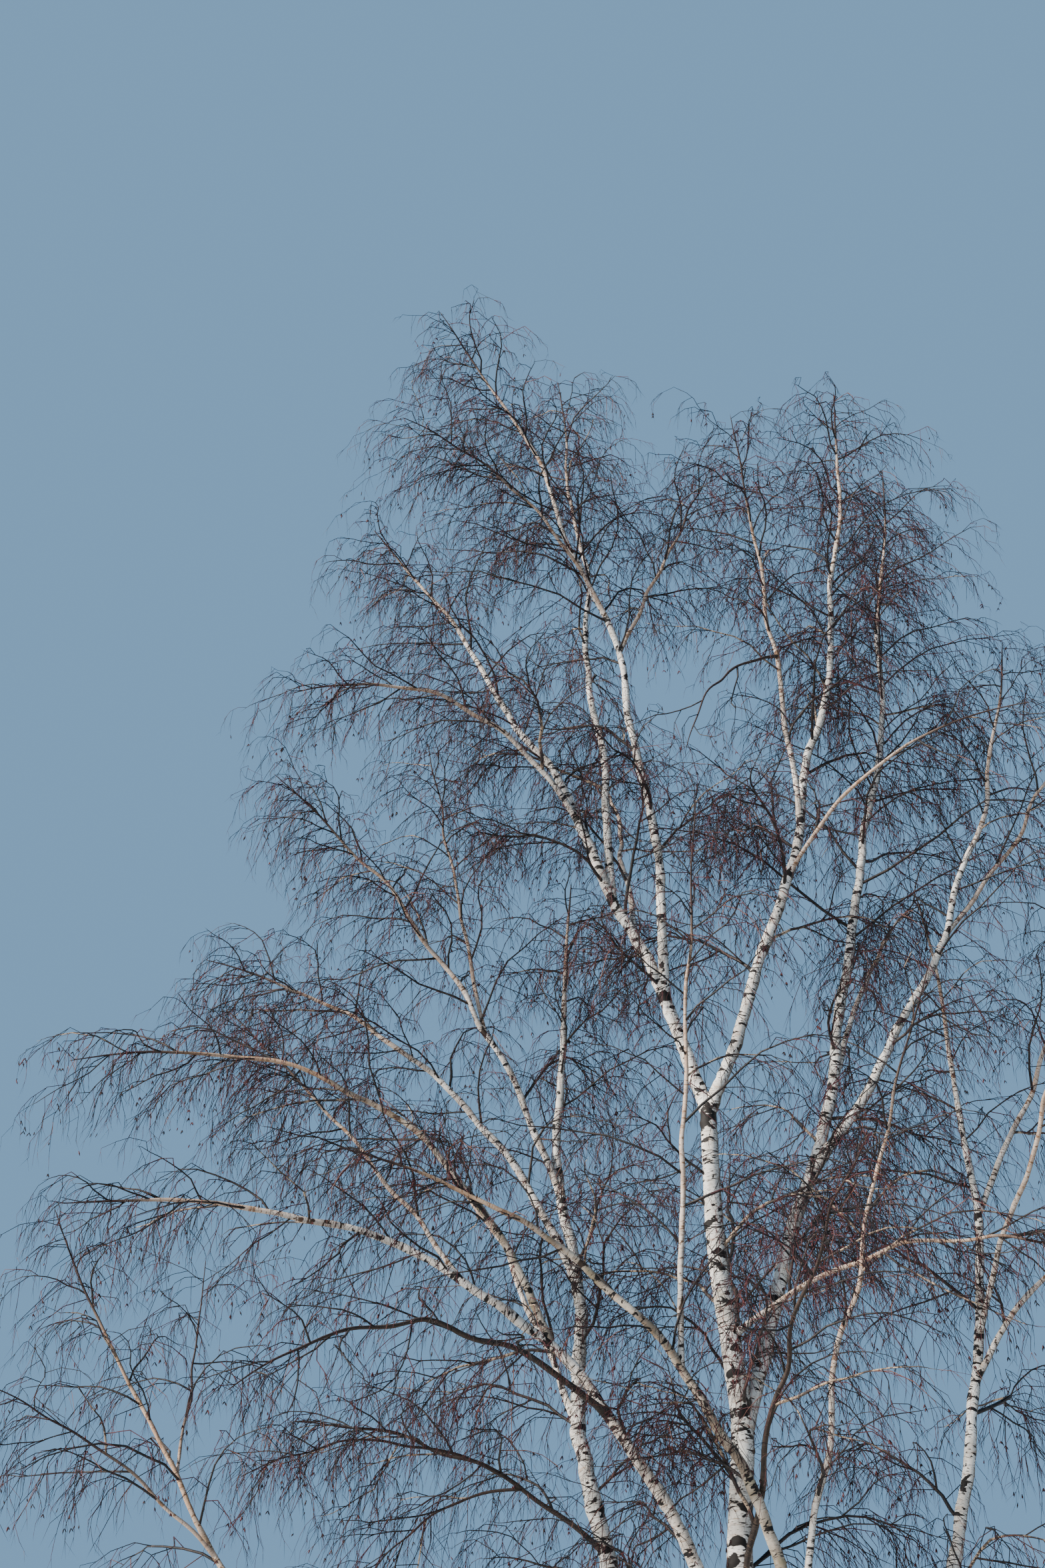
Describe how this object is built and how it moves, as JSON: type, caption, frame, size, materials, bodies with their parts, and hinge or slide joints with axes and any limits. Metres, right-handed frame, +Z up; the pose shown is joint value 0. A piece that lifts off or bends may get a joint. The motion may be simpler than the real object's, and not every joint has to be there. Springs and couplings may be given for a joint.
{
  "type": "bare silver birch tree",
  "caption": "Multi-stemmed silver birch in winter, fixed at ground level: flared trunk, ascending boughs and separate masses of hanging leafless twigs.",
  "frame": {"origin": "middle of the flat cut under the trunk, at ground level", "axes": "+Z up the trunk, +X to the right and +Y away from the viewer as the picture shows the tree"},
  "size_m": [14.3688, 9.7494, 22],
  "materials": {
    "trunk_bark": "chalk-white papery bark with dark rings, black scars below the forks and a dark ridged foot",
    "bough_bark": "white to tan bark with short dark breathing marks, browner towards the tips",
    "twigs": "satin, dark purple-brown twigs with small catkins"
  },
  "bodies": {
    "root": {"back_high": "bough_bark", "back_high_twigs": "twigs", "back_left": "bough_bark", "back_left_twigs": "twigs", "back_low": "bough_bark", "back_low_twigs": "twigs", "back_right": "bough_bark", "back_right_twigs": "twigs", "crossing_bough": "bough_bark", "crossing_bough_twigs": "twigs", "front_low": "bough_bark", "front_low_twigs": "twigs", "front_right": "bough_bark", "front_right_twigs": "twigs", "front_stem": "trunk_bark", "left_leader": "bough_bark", "left_leader_low": "bough_bark", "left_leader_low_twigs": "twigs", "left_leader_twigs": "twigs", "left_stem": "trunk_bark", "left_stem_high": "bough_bark", "left_stem_high_twigs": "twigs", "left_stem_low": "bough_bark", "left_stem_low_twigs": "twigs", "left_stem_twigs": "twigs", "middle_leader": "bough_bark", "middle_leader_twigs": "twigs", "middle_left": "bough_bark", "middle_left_twigs": "twigs", "middle_right": "bough_bark", "middle_right_twigs": "twigs", "outer_left_stem": "bough_bark", "outer_left_stem_twigs": "twigs", "reaching_bough": "bough_bark", "reaching_bough_twigs": "twigs", "right_leader": "bough_bark", "right_leader_twigs": "twigs", "right_outer": "bough_bark", "right_outer_twigs": "twigs", "right_stem": "trunk_bark", "right_stem_low": "bough_bark", "right_stem_low_twigs": "twigs", "right_stem_outer": "bough_bark", "right_stem_outer_twigs": "twigs", "right_stem_twigs": "twigs", "slender_bough": "bough_bark", "slender_bough_twigs": "twigs", "straight_leader": "bough_bark", "straight_leader_twigs": "twigs", "sweeping_bough": "bough_bark", "sweeping_bough_twigs": "twigs", "sweeping_front": "bough_bark", "sweeping_front_twigs": "twigs", "sweeping_upper": "bough_bark", "sweeping_upper_twigs": "twigs", "trunk": "trunk_bark", "upright_leader": "bough_bark", "upright_leader_twigs": "twigs", "weeping_bough": "bough_bark", "weeping_bough_twigs": "twigs"}
  },
  "joints": []
}
